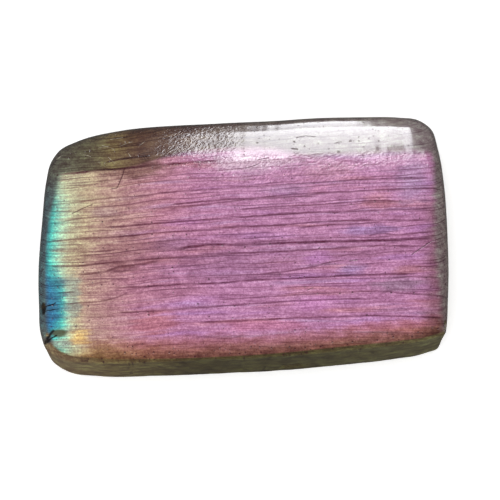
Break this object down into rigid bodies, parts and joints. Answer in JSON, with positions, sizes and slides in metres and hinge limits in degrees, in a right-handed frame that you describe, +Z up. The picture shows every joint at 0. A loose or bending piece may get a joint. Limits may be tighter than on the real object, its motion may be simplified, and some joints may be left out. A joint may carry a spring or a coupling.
{
  "type": "polished labradorite slab",
  "caption": "Polished labradorite slab: a thick rounded oblong with a flat face, a broad rolled edge, one steep dull side and a flat base to rest on.",
  "frame": {"origin": "middle of the flat base, at the middle of the slab's box", "axes": "+X along the slab towards its narrower end band, +Y towards the broad rolled edge, +Z up out of the polished face"},
  "size_m": [0.066, 0.042, 0.0149],
  "materials": {
    "labradorite": "polished"
  },
  "bodies": {
    "root": {"labradorite_stone": "labradorite"}
  },
  "joints": []
}
